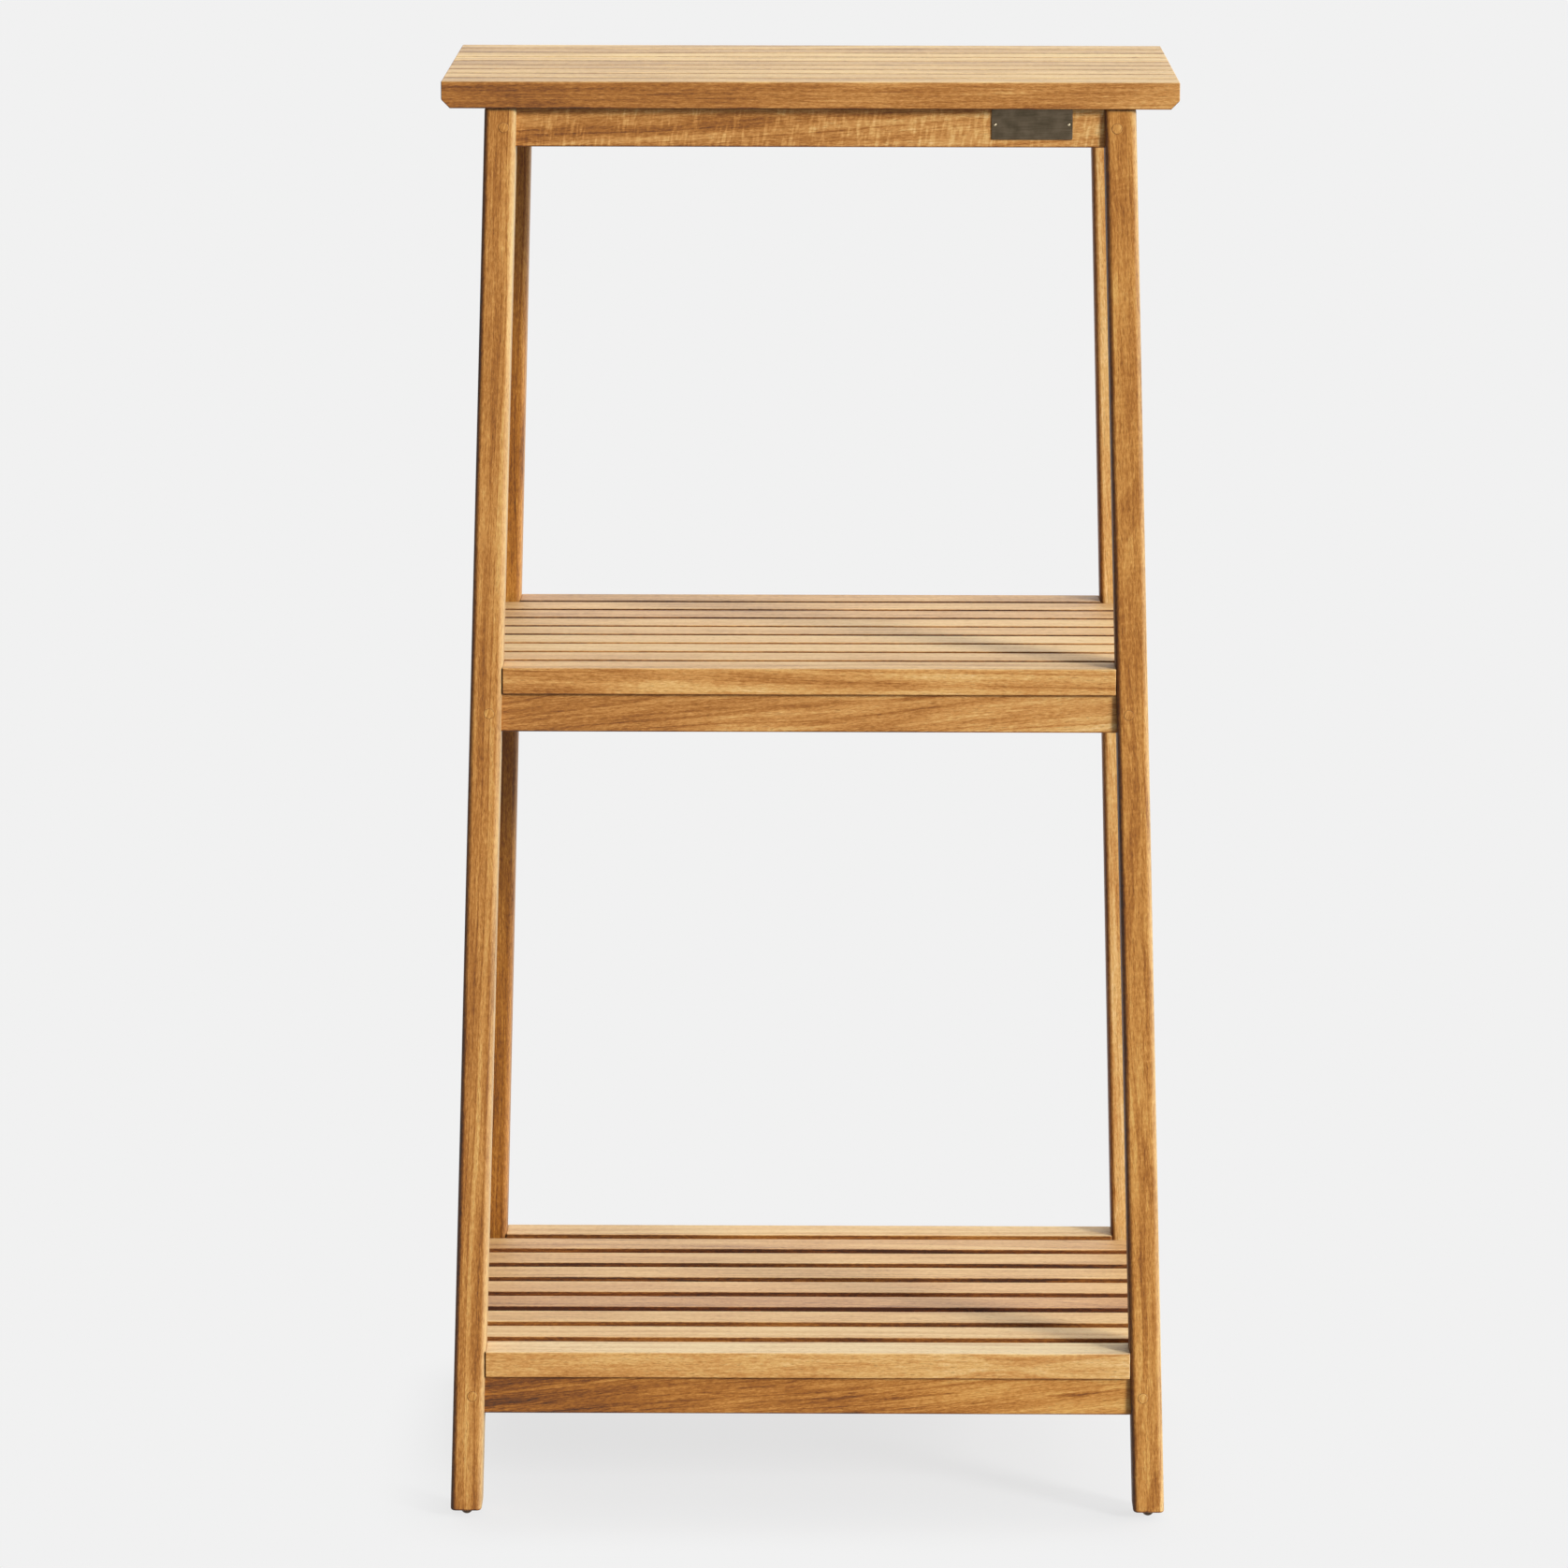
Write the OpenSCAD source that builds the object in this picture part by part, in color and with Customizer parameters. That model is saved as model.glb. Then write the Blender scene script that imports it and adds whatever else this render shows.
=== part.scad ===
// Ladder shelf: three slatted tiers between four legs that splay both ways.
// +Z is up, +Y is the back, and the origin lies on the floor under the middle of the top.

/* [Heights] */
// Height of the top surface above the floor
shelf_h = 1200; // [1000:5:1400]
// Height of the middle surface above the floor
middle_h = 719; // [560:1:860]
// Height of the bottom surface above the floor
bottom_h = 143; // [90:1:260]

/* [Stance] */
// Length of the top slats
top_w = 600; // [480:5:760]
// How far the top slats pass the leg tops at each side
side_overhang = 35; // [5:1:60]
// How far the top slats pass the leg tops at the front and the back
front_overhang = 5; // [0:1:20]
// Sideways lean of each leg, in degrees
side_lean = 1.67; // [0:0.01:3]
// Lean of each leg towards the front or the back, in degrees
front_lean = 2.43; // [0:0.01:4]

/* [Legs] */
// Width of a leg, seen from the front
leg_w = 26; // [24:1:36]
// Radius of a leg's long edges
leg_ease = 4.5; // [1:0.5:5.5]

/* [Slats] */
// Slats in each tier
slat_count = 9; // [7:1:11]
// Width of a slat, and the depth of a leg beside the end slats
slat_w = 35; // [32:1:42]
// Thickness of a slat
slat_t = 22; // [16:1:28]
// Gap between two top slats
top_gap = 3.5; // [2:0.5:10]
// Radius of a slat's long edges
slat_ease = 1; // [0.5:0.5:4]
// Bevel under each end of a top slat
end_bevel = 7; // [3:0.5:12]
// Gap between a short slat's end and the leg beside it
slat_end_gap = 0.5; // [0.1:0.1:0.8]
// How far a long slat passes the side rail under it
slat_past_rail = 3; // [0:0.5:4]

/* [Rails] */
// Height of the aprons and the side rails
rail_h = 32; // [28:1:50]
// Thickness of the aprons and the side rails
rail_t = 20; // [18:1:22]
// Radius of the aprons' and rails' long edges
rail_ease = 1.5; // [0.5:0.5:3]
// How far an apron's face lies behind the leg's front face
apron_setback = 6; // [1:0.5:8]
// Wood left between a stub tenon's end and the leg screw
tenon_wall = 1; // [0.5:0.5:3]
// Thickness of a stub tenon
tenon_t = 8; // [6:0.5:9]
// Height of a stub tenon
tenon_h = 22; // [14:1:26]
// Clearance around a tenon in its mortise
tenon_fit = 0.1; // [0.05:0.05:0.3]

/* [Fasteners] */
// Diameter of the screw shanks
screw_d = 4; // [3:0.5:5]
// Diameter of the screw heads
screw_head_d = 7.5; // [6:0.1:8]
// Height of the screw heads
screw_head_h = 3; // [2:0.1:4]
// Wood left between a leg screw's tip and the first slat screw
screw_apart = 1.5; // [1:0.5:4]
// Room around a slat screw's head in its counterbore
head_room = 0.3; // [0.1:0.1:0.5]
// Diameter of the wood plugs
plug_d = 8.2; // [8.2:0.1:10]
// Length of the wood plugs
plug_l = 5; // [3:0.5:6]
// How deep a slat screw bites into its slat
slat_bite = 13; // [8:0.5:15]
// Depth of the counterbore under a slat screw
slat_screw_recess = 10; // [6:0.5:14]
// Distance of the end slats' screws from the middle of the shelf
end_slat_screw_x = 90; // [60:5:120]
// Clearance of screws, plugs and pins in their holes
snug = 0.05; // [0.02:0.01:0.1]

/* [Name plate] */
// Width of the name plate
plate_w = 66; // [40:1:90]
// Height of the name plate
plate_h = 25; // [16:1:26]
// Thickness of the name plate
plate_t = 1; // [0.6:0.1:2]
// Distance from the top slat down to the name plate
plate_drop = 0.5; // [0.2:0.1:1.5]
// Corner radius of the name plate
plate_corner_r = 1.5; // [0.5:0.5:4]
// Distance from the name plate to the leg beside it
plate_from_leg = 26; // [10:1:80]
// Distance of a pin from the name plate's end
pin_inset = 3; // [2.5:0.5:6]
// Diameter of a pin's head
pin_head_d = 2.6; // [2:0.1:4]
// Height of a pin's head above the plate
pin_head_h = 0.8; // [0.5:0.1:1.2]
// Diameter of a pin's shank
pin_d = 1.4; // [1:0.1:1.8]
// Length of a pin's shank in the apron
pin_l = 6; // [4:0.5:7]

/* [Feet] */
// Diameter of a foot glide
glide_d = 10; // [8:0.5:16]
// Height of a foot glide
glide_h = 6.5; // [2:0.5:9]
// Diameter of a glide's flat underside
glide_flat_d = 4; // [2:0.5:6]
// Diameter of a glide's nail
nail_d = 2.2; // [1.6:0.1:3]
// Length of a glide's nail
nail_l = 14; // [8:1:20]

/* [Hidden] */
$fn = 48;
tiers = ["top", "middle", "bottom"];

left = -1;
right = 1;
front = -1;
rear = 1;
sides = [left, right];
ends = [front, rear];
spare = 2;          // how far a cutter runs past what it cuts
tip_l = 4;          // length of a screw's point

leg_colour = "#c68f55";
apron_colour = "#bb8346";
slat_colour = "#dcb687";
plug_colour = "#cfa067";
steel_colour = "#b9b9b4";
bronze_colour = "#463a2f";
plate_colour = "#6a6250";

// The legs end under the top slats, and are as deep as the end slats between them.
leg_top = shelf_h - slat_t;
leg_d = slat_w;
leg_l = 1.1 * shelf_h;
top_depth = slat_count * slat_w + (slat_count - 1) * top_gap;
reach = top_w + shelf_h;

// Distance from the middle to the legs' outer faces at a height, sideways and towards the front or back.
function half_w(z) = top_w / 2 - side_overhang + (leg_top - z) * tan(side_lean);
function half_d(z) = top_depth / 2 - front_overhang + (leg_top - z) * tan(front_lean) / cos(side_lean);

// Heights of a tier: its surface, and the bottom and the middle of its rails.
function tier_h(t) = t == "top" ? shelf_h : t == "middle" ? middle_h : bottom_h;
function rail_bottom(t) = tier_h(t) - slat_t - rail_h;
function rail_mid(t) = rail_bottom(t) + rail_h / 2;

// Places of a tier's slats, side rails and aprons, as distances from the middle.
function half_depth(t) = t == "top" ? top_depth / 2 : half_d(tier_h(t));
function slat_gap(t) = (2 * half_depth(t) - slat_count * slat_w) / (slat_count - 1);
function slat_y(t, i) = -half_depth(t) + slat_w / 2 + (i - 1) * (slat_w + slat_gap(t));
function rail_x(t) = half_w(rail_mid(t)) - leg_w + rail_t / 2;
function apron_y(t) = half_d(rail_mid(t)) - apron_setback - rail_t / 2;
function is_end_slat(i) = i == 1 || i == slat_count;

// An end slat is screwed to its apron, and the others to both side rails.
function slat_screw_x(t, i) = is_end_slat(i) ? end_slat_screw_x : rail_x(t);
function slat_screw_y(t, i) = i == 1 ? -apron_y(t) : i == slat_count ? apron_y(t) : slat_y(t, i);
slat_screw_l = rail_h - slat_screw_recess - screw_head_h + slat_bite;
slat_screw_bore = screw_head_d + 2 * head_room;

// A leg screw stops short of the screw in the slat behind the leg.
first_slat_screw = slat_w + top_gap + slat_w / 2 - front_overhang;
leg_screw_l = first_slat_screw - slat_screw_bore / 2 - screw_apart - plug_l - screw_head_h;
tenon_l = rail_t / 2 - screw_d / 2 - snug - tenon_wall;

// A rectangle with its corner at the origin and round corners of radius r.
module eased(w, h, r) {
  translate([r, 0]) square([w - 2 * r, h]);
  translate([0, r]) square([w, h - 2 * r]);
  for (x = [r, w - r], y = [r, h - r]) translate([x, y]) circle(r);
}

// A board of length l along X, with its middle over the origin and its bottom at z = 0.
module board_x(l, w, h, r) {
  translate([-l / 2, -w / 2, 0]) rotate([90, 0, 90]) linear_extrude(l) eased(w, h, r);
}

// The same board along Y.
module board_y(l, w, h, r) {
  translate([-w / 2, l / 2, 0]) rotate([90, 0, 0]) linear_extrude(l) eased(w, h, r);
}

// A screw along Z with its head's seat at z = 0 and its point upwards.
module screw(l) {
  translate([0, 0, -screw_head_h]) cylinder(d = screw_head_d, h = screw_head_h);
  cylinder(d = screw_d, h = l - tip_l);
  translate([0, 0, l - tip_l]) cylinder(d1 = screw_d, d2 = screw_d / 4, h = tip_l);
}

// A leg's own axes: z runs up the leg, and the origin is the outer corner of its top.
module at_leg(side, end) {
  mirror([side == left ? 1 : 0, 0, 0])
    mirror([0, end == rear ? 1 : 0, 0])
      translate([half_w(leg_top), -half_d(leg_top), leg_top])
        rotate([-front_lean, -side_lean, 0])
          children();
}

module leg_bar(r) {
  translate([-leg_w, 0, -leg_l]) linear_extrude(leg_l + leg_w) eased(leg_w, leg_d, r);
}

// All that lies outwards of the plane of a leg's inner face, moved inwards by gap.
module beyond_inner_face(side, end, gap = 0) {
  at_leg(side, end) translate([-leg_w - gap, -reach, -leg_l]) cube([reach, 2 * reach, leg_l + reach]);
}

// All that lies outwards of the plane of a leg's face towards the other leg of its side.
module beyond_back_face(side, end) {
  at_leg(side, end) translate([-reach, leg_d - reach, -leg_l]) cube([2 * reach, reach, leg_l + reach]);
}

// Axes of a leg screw: the origin on the leg's face, z inwards.
module at_leg_screw(t, side, end) {
  translate([side * rail_x(t), end * half_d(rail_mid(t)), rail_mid(t)]) rotate([end * 90, 0, 0]) children();
}

module leg_screw_hole() {
  translate([0, 0, -spare]) cylinder(d = plug_d + 2 * snug, h = plug_l + screw_head_h + spare);
  cylinder(d = screw_d + 2 * snug, h = plug_l + screw_head_h + leg_screw_l + snug);
}

// Axes of a slat's screws: the origin at the bottom of the rail or apron, z up.
module at_slat_screws(t, i) {
  for (side = sides)
    translate([side * slat_screw_x(t, i), slat_screw_y(t, i), rail_bottom(t)]) children();
}

module slat_screw_hole() {
  translate([0, 0, -spare]) cylinder(d = slat_screw_bore, h = slat_screw_recess + screw_head_h + spare);
  cylinder(d = screw_d + 2 * snug, h = rail_h + slat_bite + snug);
}

// An apron's tenons, as one bar through it; fit widens it into the mortises.
module tenon_bar(t, end, fit = 0) {
  l = half_w(rail_mid(t)) - leg_w + tenon_l + fit;
  inner = apron_y(t) - rail_t / 2;
  y = end == front ? -inner - tenon_t : inner;
  translate([-l, y - fit, rail_mid(t) - tenon_h / 2 - fit])
    cube([2 * l, tenon_t + 2 * fit, tenon_h + 2 * fit]);
}

module glide_place(side, end) {
  translate([side * (half_w(glide_h) - leg_w / 2), end * (half_d(glide_h) - leg_d / 2), 0]) children();
}

module leg(side, end) {
  color(leg_colour)
    difference() {
      intersection() {
        at_leg(side, end) leg_bar(leg_ease);
        translate([-reach, -reach, glide_h]) cube([2 * reach, 2 * reach, leg_top - glide_h]);
      }
      for (t = tiers) {
        at_leg_screw(t, side, end) leg_screw_hole();
        tenon_bar(t, end, tenon_fit);
      }
      glide_place(side, end) cylinder(d = nail_d + 2 * snug, h = glide_h + nail_l + snug);
    }
}

module apron(t, end) {
  half_l = half_w(rail_bottom(t)) - leg_w / 2;
  color(apron_colour)
    difference() {
      union() {
        difference() {
          translate([0, end * apron_y(t), rail_bottom(t)]) board_x(2 * half_l, rail_t, rail_h, rail_ease);
          for (side = sides) beyond_inner_face(side, end);
        }
        tenon_bar(t, end);
      }
      at_slat_screws(t, end == front ? 1 : slat_count) slat_screw_hole();
      if (t == "top" && end == front) at_plate_pins() cylinder(d = pin_d + 2 * snug, h = pin_l + snug);
    }
}

module rail(t, side) {
  half_l = half_d(rail_bottom(t)) - leg_d / 2;
  color(apron_colour)
    difference() {
      translate([side * rail_x(t), 0, rail_bottom(t)]) board_y(2 * half_l, rail_t, rail_h, rail_ease);
      for (end = ends) {
        beyond_back_face(side, end);
        at_leg_screw(t, side, end) leg_screw_hole();
      }
      for (i = [2:slat_count - 1]) at_slat_screws(t, i) slat_screw_hole();
    }
}

// A top slat seen from the front: its lower corners are bevelled at both ends.
module bevelled_outline() {
  x = top_w / 2;
  polygon([[-x, slat_t], [-x, end_bevel], [end_bevel - x, 0], [x - end_bevel, 0], [x, end_bevel], [x, slat_t]]);
}

module slat_board(t, i) {
  half_l = is_end_slat(i) ? half_w(0) : rail_x(t) + rail_t / 2 + slat_past_rail;
  translate([0, slat_y(t, i), tier_h(t) - slat_t]) {
    if (t == "top") {
      intersection() {
        board_x(top_w, slat_w, slat_t, slat_ease);
        rotate([90, 0, 0]) linear_extrude(2 * slat_w, center = true) bevelled_outline();
      }
    } else {
      board_x(2 * half_l, slat_w, slat_t, slat_ease);
    }
  }
}

module slat(t, i) {
  end = i == 1 ? front : rear;
  color(slat_colour)
    difference() {
      slat_board(t, i);
      if (t != "top" && is_end_slat(i)) {
        for (side = sides) beyond_inner_face(side, end, slat_end_gap);
      }
      at_slat_screws(t, i) slat_screw_hole();
    }
}

module slat_screws(t) {
  color(steel_colour)
    for (i = [1:slat_count])
      at_slat_screws(t, i) translate([0, 0, slat_screw_recess + screw_head_h]) screw(slat_screw_l);
}

module leg_screws() {
  color(steel_colour)
    for (t = tiers, side = sides, end = ends)
      at_leg_screw(t, side, end) translate([0, 0, plug_l + screw_head_h]) screw(leg_screw_l);
}

// A plug is cut flush with the leaning face of its leg.
module leg_plugs() {
  color(plug_colour)
    for (t = tiers, side = sides, end = ends)
      intersection() {
        at_leg_screw(t, side, end) translate([0, 0, -spare]) cylinder(d = plug_d, h = plug_l + spare);
        at_leg(side, end) translate([-leg_w, 0, -leg_l]) cube([leg_w, leg_d, leg_l]);
      }
}

// Axes of the name plate: the origin at its middle on the front apron's face, z into the apron.
module at_plate() {
  x = half_w(rail_mid("top")) - leg_w - plate_from_leg - plate_w / 2;
  translate([x, -apron_y("top") - rail_t / 2, leg_top - plate_drop - plate_h / 2]) rotate([-90, 0, 0]) children();
}

module at_plate_pins() {
  at_plate() for (side = sides) translate([side * (plate_w / 2 - pin_inset), 0, 0]) children();
}

module name_plate() {
  color(plate_colour)
    difference() {
      at_plate()
        translate([-plate_w / 2, -plate_h / 2, -plate_t])
          linear_extrude(plate_t) eased(plate_w, plate_h, plate_corner_r);
      at_plate_pins() translate([0, 0, -plate_t - spare]) cylinder(d = pin_d + 2 * snug, h = plate_t + 2 * spare);
    }
}

// A pin's head is a cap of a ball that meets the plate at the head's rim.
module pin() {
  ball_r = (pow(pin_head_d / 2, 2) + pow(pin_head_h, 2)) / (2 * pin_head_h);
  intersection() {
    translate([0, 0, ball_r - plate_t - pin_head_h]) sphere(ball_r);
    translate([0, 0, -plate_t - pin_head_h]) cylinder(d = pin_head_d, h = pin_head_h);
  }
  translate([0, 0, -plate_t]) cylinder(d = pin_d, h = plate_t + pin_l);
}

module name_plate_pins() {
  color(steel_colour) at_plate_pins() pin();
}

// A glide's dome is a zone of a ball, from its flat underside up to the leg's end.
module glide() {
  ball_z = (pow(glide_d / 2, 2) - pow(glide_flat_d / 2, 2) + pow(glide_h, 2)) / (2 * glide_h);
  ball_r = norm([glide_flat_d / 2, ball_z]);
  intersection() {
    translate([0, 0, ball_z]) sphere(ball_r);
    cylinder(r = ball_r, h = glide_h);
  }
  cylinder(d = nail_d, h = glide_h + nail_l);
}

module foot_glides() {
  color(bronze_colour)
    for (side = sides, end = ends)
      glide_place(side, end) glide();
}

leg(left, front);  // front_left_leg
leg(right, front);  // front_right_leg
leg(left, rear);  // rear_left_leg
leg(right, rear);  // rear_right_leg
for (t = tiers) {
  apron(t, front);
  apron(t, rear);
  rail(t, left);
  rail(t, right);
  for (i = [1:slat_count])
    slat(t, i);
  slat_screws(t);
}
leg_screws();
leg_plugs();
name_plate();
name_plate_pins();
foot_glides();
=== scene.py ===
import math

import bpy
import numpy as np
from mathutils import Euler, Matrix, Vector


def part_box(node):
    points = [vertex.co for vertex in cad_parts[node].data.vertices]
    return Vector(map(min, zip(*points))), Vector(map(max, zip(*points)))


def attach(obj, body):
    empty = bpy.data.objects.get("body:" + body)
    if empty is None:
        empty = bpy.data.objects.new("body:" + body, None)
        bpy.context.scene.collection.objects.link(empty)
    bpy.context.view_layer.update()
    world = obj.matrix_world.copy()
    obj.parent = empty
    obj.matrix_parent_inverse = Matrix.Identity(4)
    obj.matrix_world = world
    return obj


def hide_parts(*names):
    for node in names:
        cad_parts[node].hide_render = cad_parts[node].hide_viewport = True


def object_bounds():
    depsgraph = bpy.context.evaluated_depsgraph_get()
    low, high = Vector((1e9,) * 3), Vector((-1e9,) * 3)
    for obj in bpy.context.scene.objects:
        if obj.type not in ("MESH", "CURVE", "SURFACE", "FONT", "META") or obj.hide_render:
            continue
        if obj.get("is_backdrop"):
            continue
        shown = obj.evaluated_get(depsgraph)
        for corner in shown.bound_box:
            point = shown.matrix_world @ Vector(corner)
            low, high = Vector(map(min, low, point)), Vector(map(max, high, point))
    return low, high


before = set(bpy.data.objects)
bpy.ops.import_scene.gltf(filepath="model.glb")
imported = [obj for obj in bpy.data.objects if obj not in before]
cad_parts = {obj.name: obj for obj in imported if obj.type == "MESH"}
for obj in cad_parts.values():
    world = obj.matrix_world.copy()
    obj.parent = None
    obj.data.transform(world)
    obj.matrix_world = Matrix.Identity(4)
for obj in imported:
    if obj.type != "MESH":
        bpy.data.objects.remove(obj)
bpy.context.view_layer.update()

# ---- Legs
# Four square legs of planed teak, each leaning inwards and towards the middle. They are
# sawn level at both ends, their long edges are rounded over on a router table, and their
# ends are eased by hand, so that the feet don't splinter when the shelf is dragged.

MM = 0.001
leg_edge_radius = 4.5 * MM
leg_end_ease = 2.2 * MM
leg_stations = 25
level_within = 0.01 * MM

# Each leg comes from a plank of its own: its tone, how much that rises in a metre, how
# golden it is, its share of dark streaks, and its share of painted light, the pale colour
# painted on its sides that face right and up. Its light flecks have half the share of its
# streaks.
leg_woods = {
    ("front", "left"): (0.51, 0.0, 0.25, 0.3, 0.95),
    ("front", "right"): (0.55, -0.08, 0.5, 0.6, 0.95),
    # The rear left leg's tone rises upwards, so its lower part is darker: painted shade.
    ("rear", "left"): (0.39, 0.15, 1.0, 0.3, 0.4),
    ("rear", "right"): (0.73, 0.0, 0.0, 0.6, 0.4),
}
# The pale colour of the legs' painted light.
leg_painted_light = "c0b48a"


def hidden_points(node):
    """The corner points of a construction node, as an array of rows x, y, z."""
    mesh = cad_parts[node].data
    flat = np.empty(len(mesh.vertices) * 3)
    mesh.vertices.foreach_get("co", flat)
    return flat.reshape(-1, 3)


def bar_rings(along, near, far, radius, inset, lift):
    """Rings of a bar with rounded long edges, one for each station along it.

    At each station the section is the rectangle from near to far. A point on it is the
    centre of the corner's circle, plus (radius - inset) times the corner's outward
    direction, so the section draws in by inset where an end is eased. Its normal is that
    direction times the cosine of lift, plus the bar's own direction times its sine.
    """
    corner_steps = 6
    quarter = np.linspace(0, np.pi / 2, corner_steps + 1)
    angle = (np.arange(4)[:, None] * np.pi / 2 + quarter).ravel()
    outward = np.stack([np.cos(angle), np.sin(angle)], 1)
    far_side = np.repeat([[1, 1], [0, 1], [0, 0], [1, 0]], corner_steps + 1, 0)
    corner = far_side * (far[:, None] - radius) + (1 - far_side) * (near[:, None] + radius)
    section = corner + (radius - inset)[:, None, None] * outward
    column = (*section.shape[:2], 1)
    rings = np.concatenate([section, np.broadcast_to(along[:, None, None], column)], 2)
    sideways = np.cos(lift)[:, None, None] * outward
    lengthways = np.broadcast_to(np.sin(lift)[:, None, None], column)
    return rings, np.concatenate([sideways, lengthways], 2)


def eased_ends(stations, ease):
    """Stations, insets and lifts of a bar whose two ends are rounded over by ease.

    Each end is a quarter turn: the station lies ease * (1 - sin(turn)) from the end, and
    the section draws in by ease * (1 - cos(turn)). The lift is the turn, and it is negative
    at the start, where the end faces backwards.
    """
    end_steps = 4
    turn = np.linspace(0, np.pi / 2, end_steps + 1)
    start = stations[0] + ease * (1 - np.sin(turn[::-1]))
    finish = stations[-1] - ease * (1 - np.sin(turn))
    draw = ease * (1 - np.cos(turn))
    middle = np.zeros(len(stations) - 2)
    return (
        np.concatenate([start, stations[1:-1], finish]),
        np.concatenate([draw[::-1], middle, draw]),
        np.concatenate([-turn[::-1], middle, turn]),
    )


def ringed_mesh(name, bodies):
    """A mesh of closed bodies, each given as rings of points and their normals.

    Neighbouring rings are joined by four-sided faces that run round them, and the first
    and the last ring are closed by one face each. Rings run anticlockwise when seen from
    the side that the last ring faces, which turns every face outwards.
    """
    points, normals, faces, first = [], [], [], 0
    for rings, ring_normals in bodies:
        count, around = rings.shape[:2]
        index = first + np.arange(count * around).reshape(count, around)
        turned = np.roll(index, -1, 1)
        sides = np.stack([index[:-1], turned[:-1], turned[1:], index[1:]], -1)
        faces += sides.reshape(-1, 4).tolist() + [index[0, ::-1].tolist(), index[-1].tolist()]
        points.append(rings.reshape(-1, 3))
        normals.append(ring_normals.reshape(-1, 3))
        first += count * around
    mesh = bpy.data.meshes.new(name)
    mesh.from_pydata(np.concatenate(points).tolist(), [], faces)
    mesh.shade_smooth()
    mesh.normals_split_custom_set_from_vertices(np.concatenate(normals).tolist())
    piece = bpy.data.objects.new(name, mesh)
    bpy.context.scene.collection.objects.link(piece)
    return piece


def colour(code):
    """A linear colour from an sRGB hex code such as "c08040"."""
    shown = np.array([int(code[i : i + 2], 16) for i in (0, 2, 4)]) / 255
    linear = np.where(shown <= 0.04045, shown / 12.92, ((shown + 0.055) / 1.055) ** 2.4)
    return (*linear.tolist(), 1.0)


def add(tree, kind, inputs, **settings):
    """A new node with these settings.

    Each input, by its name or number, is a value, or a socket to link it to.
    """
    node = tree.nodes.new(kind)
    for name, value in settings.items():
        setattr(node, name, value)
    for name, value in inputs.items():
        if isinstance(value, bpy.types.NodeSocket):
            tree.links.new(value, node.inputs[name])
        else:
            node.inputs[name].default_value = value
    return node


def bare_finish(name):
    """A new material that has no nodes yet, and its node tree."""
    finish = bpy.data.materials.new(name)
    finish.use_nodes = True
    finish.node_tree.nodes.clear()
    return finish, finish.node_tree


def put_on(piece, finish):
    """Give a piece this finish in place of what it has."""
    piece.data.materials.clear()
    piece.data.materials.append(finish)


# Teak, planed, sanded and wiped with oil. The pattern is that of a log whose heart runs
# along Z, so each face and end of a part shows the figure that a saw would open there.
# It gives the eye honey brown wood with fine dark dashes and slow changes from straw to rust.

# Patterns of noise in the log: how wide a mark is across the grain, how many times longer
# it is along the grain, how many finer octaves it has and how strong they are, and how far
# it is distorted. A pore is drawn about three times as wide as a real one, which would not
# show.
marks_in_log = {
    "sway": (60 * MM, 6, 1, 0.5, 0.0),
    "clouds": (24 * MM, 5, 2, 0.5, 0.0),
    "streaks": (7 * MM, 16, 4, 0.75, 0.6),
    "strands": (3 * MM, 24, 2, 0.6, 0.3),
    "dashes": (1.1 * MM, 4.5, 3, 0.7, 0.0),
    "fibres": (0.8 * MM, 30, 2, 0.6, 0.0),
    "pores": (0.7 * MM, 9, 1, 0.4, 0.0),
    "flecks": (14 * MM, 0.2, 1, 0.5, 0.0),
    "ripples": (30 * MM, 0.6, 1, 0.5, 0.0),
}

# How far growth rings sway, how wide their soft bands and their lines are, and how far the
# light flecks, which run across the grain, lean.
ring_sway = 22 * MM
ring_band = 8 * MM
ring_line = 2 * MM
fleck_lean = math.radians(-12)

# The colour of each shade of teak, from 0 to 1, and of its pores, and how much of their
# colour the pores show.
teak_shades = (
    (0.0, "482c1c"),
    (0.2, "79471e"),
    (0.4, "a2682c"),
    (0.6, "c48b4a"),
    (0.8, "d9ac69"),
    (1.0, "eac791"),
)
pore_colour = "5a3416"
pore_share = 0.3

# Wood wiped with oil has a soft sheen, duller on its fibres and in its pores. The fibres
# stand up and the pores are sunk, as shares of the depth of the grain.
oiled_roughness = 0.48
duller = 0.16
fibre_height = 0.5
pore_height = -0.8
grain_depth = 0.25 * MM
grain_strength = 0.35
oil_ior = 1.48

# A face starts to be end grain, and is all of it, where the cosine between its direction
# and the grain has these two values, and the next pair says the same of painted shade on a
# side towards a gap. A side whose direction's right and up add up to shaded_at or less is
# shaded_share times as much darkened as end grain: painted shade on the left and lower sides.
end_grain_at = (0.45, 0.9)
gap_shade_at = (0.5, 0.9)
shaded_at = -0.8
shaded_share = 1.4

# How near and how far from a part the heart of its log lies, how much it tilts, and how far
# along the log the part may be cut.
heart_near = 50 * MM
heart_far = 120 * MM
heart_tilt = 0.012
log_reach = 0.9

# The pattern is one group of nodes: what each part tells it, and what it gives back.
figure = bpy.data.node_groups.new("teak_figure", "ShaderNodeTree")
for way, kind, names in (
    ("INPUT", "NodeSocketVector", ("Log",)),
    ("INPUT", "NodeSocketFloat", ("Tone", "Rose", "Gold", "Streaks", "Flecks")),
    ("INPUT", "NodeSocketFloat", ("End grain and shade", "Painted light")),
    ("INPUT", "NodeSocketColor", ("Pale",)),
    ("OUTPUT", "NodeSocketColor", ("Colour",)),
    ("OUTPUT", "NodeSocketFloat", ("Roughness", "Height")),
):
    for name in names:
        figure.interface.new_socket(name, in_out=way, socket_type=kind)

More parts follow.
